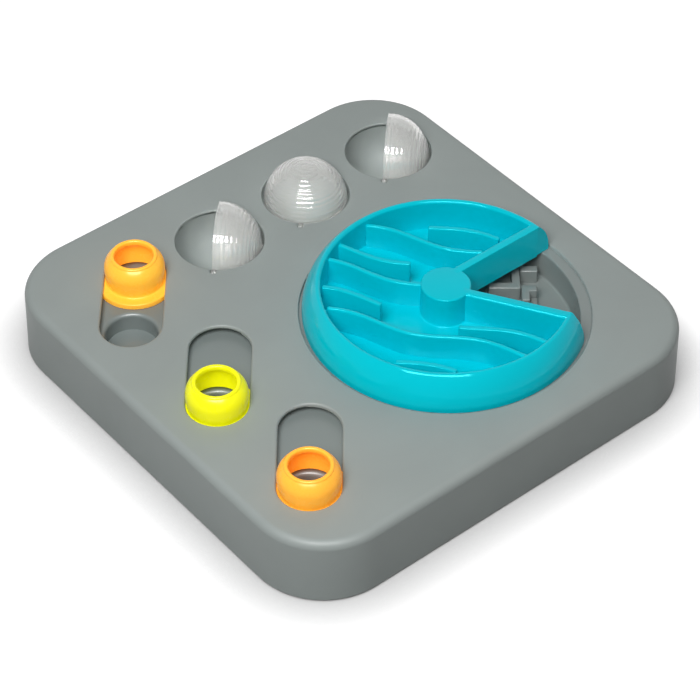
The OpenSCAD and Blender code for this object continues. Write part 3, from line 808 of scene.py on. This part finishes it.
def finTree():
    # wavy band along x: a line, bent by a cosine, swept with a flat upright section
    sizes = ("Line", "Crest", "From", "To", "Swing", "Wave", "Thickness", "Height", "Low")
    tree, given = startTree("wavyFin", **{size: "Float" for size in sizes}, Finish="Material")
    begin = addNode(tree, "ShaderNodeCombineXYZ", {"X": given["From"]})
    end = addNode(tree, "ShaderNodeCombineXYZ", {"X": given["To"]})
    line = addNode(tree, "GeometryNodeCurvePrimitiveLine", {"Start": begin.outputs[0],
                                                            "End": end.outputs[0]})
    fine = addNode(tree, "GeometryNodeResampleCurve", {"Curve": line.outputs[0], "Count": 64})
    place = addNode(tree, "GeometryNodeInputPosition")
    parts = addNode(tree, "ShaderNodeSeparateXYZ", {0: place.outputs[0]})
    past = maths(tree, "SUBTRACT", parts.outputs["X"], given["Crest"])
    waves = maths(tree, "DIVIDE", past, given["Wave"])
    bend = maths(tree, "COSINE", maths(tree, "MULTIPLY", waves, 2 * math.pi))
    aside = maths(tree, "MULTIPLY_ADD", bend, given["Swing"], given["Line"])
    shift = addNode(tree, "ShaderNodeCombineXYZ", {"Y": aside})
    bent = addNode(tree, "GeometryNodeSetPosition", {"Geometry": fine.outputs[0],
                                                     "Offset": shift.outputs[0]})
    section = addNode(tree, "GeometryNodeCurvePrimitiveQuadrilateral", {
        "Width": given["Thickness"], "Height": given["Height"]})
    half = maths(tree, "MULTIPLY_ADD", given["Height"], 0.5, given["Low"])
    # the section's y points down once it is swept
    lift = addNode(tree, "ShaderNodeCombineXYZ", {"Y": maths(tree, "MULTIPLY", half, -1.0)})
    raised = addNode(tree, "GeometryNodeTransform", {"Geometry": section.outputs[0],
                                                     "Translation": lift.outputs[0]})
    swept = addNode(tree, "GeometryNodeCurveToMesh", {"Curve": bent.outputs[0],
                                                      "Profile Curve": raised.outputs[0],
                                                      "Fill Caps": True})
    return endTree(tree, swept.outputs[0], given["Finish"])


def makeFins(v, finish):
    tree = finTree()
    low, reach = v["floorTop"] - v["finRoot"], v["bowlR"] + v["finOverlap"]
    shells = []
    for line, crest, begin, end in v["fins"]:
        aside = abs(line) + v["finSwing"]
        limit = math.sqrt(max(reach ** 2 - aside ** 2, 1))  # a long fin ends in the rim
        mesh = treeResult(tree, {
            "Line": line, "Crest": float(crest), "From": float(max(begin, -limit)),
            "To": float(min(end, limit)), "Swing": v["finSwing"], "Wave": v["finWave"],
            "Thickness": v["finThick"], "Height": v["rise"] - v["finDrop"] - low,
            "Low": low, "Finish": finish}, bevel=v["finEdge"])
        shells.append(meshShell(mesh))
    return moved(joined(shells), Matrix.Rotation(math.radians(v["finAngle"]), 4, "Z"))


teal = finishes["wheelTeal"]
wheelShells = [makeRim(wheelSet), makeWheelFloor(wheelSet), makeHub(wheelSet),
               makeSideWall(wheelSet, wheelSet["wedgeTo"], wheelSet["setBack"], 1),
               makeSideWall(wheelSet, wheelSet["wedgeFrom"], 0, -1),
               makeFins(wheelSet, teal)]
wheel = makePiece("mazeWheelBody", moved(joined(wheelShells),
                  Matrix.Translation((axle.x, axle.y, deckTop))), teal, merge=1e-7)
stand(wheel, "wheel", "wheel_teal", "maze_wheel")
print("wheel made")

footSet = {"edge": 0.7, "grooves": (3.2, 5.6), "grooveW": 0.5, "grooveFloor": 0.6,
           "grooveD": 0.5, "segments": 72}  # mm; grooveFloor is a share of the width


def footOutline(v, r, height):
    # sole with ring-shaped grooves, then the side and the top that sits in the cover
    points = [(0, 0)]
    wide, deep = v["grooveW"], v["grooveD"]
    narrow = wide * v["grooveFloor"]
    for at in v["grooves"]:
        points += [(at - wide, 0), (at - narrow, deep), (at + narrow, deep), (at + wide, 0)]
    points += arc(r - v["edge"], v["edge"], v["edge"], 270, 360, 5)
    return points + [(r, height), (0, height)]


for corner in ("front_left", "front_right", "back_left", "back_right"):
    low, high = (Vector(c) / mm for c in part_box("foot_" + corner))
    turned = lathe(footOutline(footSet, (high.x - low.x) / 2, high.z - low.z),
                   footSet["segments"])
    put = Matrix.Translation(((low.x + high.x) / 2, (low.y + high.y) / 2, low.z))
    foot = makePiece("rubberFoot_" + corner, moved(turned, put), finishes["footRubber"])
    stand(foot, "base", "foot_rubber", "foot_" + corner)
print("feet made")

# mm
screwSet = {"shankR": 1.5, "headR": 2.9, "headH": 2.0, "headEdge": 0.12, "crown": 0.9,
            "tipEdge": 0.4, "slotL": 3.2, "slotW": 0.75, "slotD": 1.2, "segments": 40, "seed": 4,
            "apart": 4.1}  # packed points closer than this belong to one screw


def makeScrew(v, length):
    # pan head with a domed crown below z = 0, shank above, cross recess cut into the crown
    r, h, crown, shank = v["headR"], v["headH"], v["crown"], v["shankR"]
    edge, tip = v["headEdge"], v["tipEdge"]
    bend = (r * r + crown * crown) / (2 * crown)
    half = math.degrees(math.asin((r - 0.05) / bend))  # the crown stops just short of the side
    outline = arc(0, bend - h, bend, -90, -90 + half, 10)
    outline += [(r, -edge), (r - edge, 0), (shank, 0), (shank, length - tip),
                (shank - tip, length), (0, length)]
    screw = makePiece("screwBlank", lathe(outline, v["segments"]), finishes["screwSteel"])
    bars = []
    for turn in (0, 90):
        blank = bmesh.new()
        bmesh.ops.create_cube(blank, size=1)
        blank.verts.ensure_lookup_table()
        size = Matrix.Diagonal((v["slotL"], v["slotW"], 2 * v["slotD"], 1))
        put = Matrix.Translation((0, 0, -h)) @ Matrix.Rotation(math.radians(turn), 4, "Z") @ size
        bars.append(moved(([tuple(p.co) for p in blank.verts],
                           [tuple(q.index for q in f.verts) for f in blank.faces]), put))
        blank.free()
    for number, shape in enumerate(bars):
        cutter = makePiece("slotCutter", shape, finishes["screwSteel"])
        cut = screw.modifiers.new("slot%d" % number, "BOOLEAN")
        cut.operation, cut.object, cut.solver = "DIFFERENCE", cutter, "EXACT"
    done = modifiedMesh(screw)
    for made in [m.object for m in screw.modifiers] + [screw]:
        bpy.data.objects.remove(made)
    return bpy.data.objects.new("screwPattern", done)


def screwTree():
    # the same screw at every point, each turned by its own chance angle
    tree, given = startTree("screwRow", Geometry="Geometry", Screw="Object", Seed="Int",
                            Finish="Material")
    screw = addNode(tree, "GeometryNodeObjectInfo", {"Object": given["Screw"]})
    chance = addNode(tree, "FunctionNodeRandomValue", {"Max": 6.28, "Seed": given["Seed"]},
                     data_type="FLOAT")  # up to one whole turn
    spin = addNode(tree, "ShaderNodeCombineXYZ", {"Z": chance.outputs["Value"]})
    row = addNode(tree, "GeometryNodeInstanceOnPoints", {
        "Points": given["Geometry"], "Instance": screw.outputs["Geometry"],
        "Rotation": spin.outputs[0]})
    return endTree(tree, row.outputs[0], given["Finish"])


def screwCentres(node, apart, compared=6):
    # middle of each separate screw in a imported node, in mm; a point joins the first group
    # that has it near one of its first few points
    groups = []
    for p in (v.co / mm for v in nodes[node].data.vertices):
        near = [g for g in groups if any((p.xy - q.xy).length < apart for q in g[:compared])]
        if near:
            near[0].append(p)
        else:
            groups.append([p])
    return [Vector(((min(q.x for q in g) + max(q.x for q in g)) / 2,
                    (min(q.y for q in g) + max(q.y for q in g)) / 2, 0)) for g in groups]


rows = screwTree()
screwNodes = {"track_screws_left": "base", "track_screws_middle": "base",
              "track_screws_right": "base", "cover_screws": "base", "wheel_screw": "wheel"}
for node, body in screwNodes.items():
    low, high = (Vector(c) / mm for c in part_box(node))
    seat = low.z + screwSet["headH"]
    pattern = makeScrew(screwSet, high.z - seat)
    places = [(p.x * mm, p.y * mm, seat * mm) for p in screwCentres(node, screwSet["apart"])]
    mesh = treeResult(rows, {"Screw": pattern, "Seed": screwSet["seed"],
                             "Finish": finishes["screwSteel"]}, shell=(places, ()))
    piece = makePiece("screws_" + node, meshShell(mesh, 1 / mm), finishes["screwSteel"], sharp=40)
    stand(piece, body, "screw_steel", node)
    bpy.data.objects.remove(pattern)
print("screws made")

kept = {"trackGrey": ["track_left", "track_middle", "track_right"],
        "coverGrey": ["bottom_cover"], "screwSteel": ["wheel_washer"]}
for finish, members in kept.items():
    for member in members:
        for place in nodes[member].material_slots:
            place.material = finishes[finish]
print("kept pieces coloured")
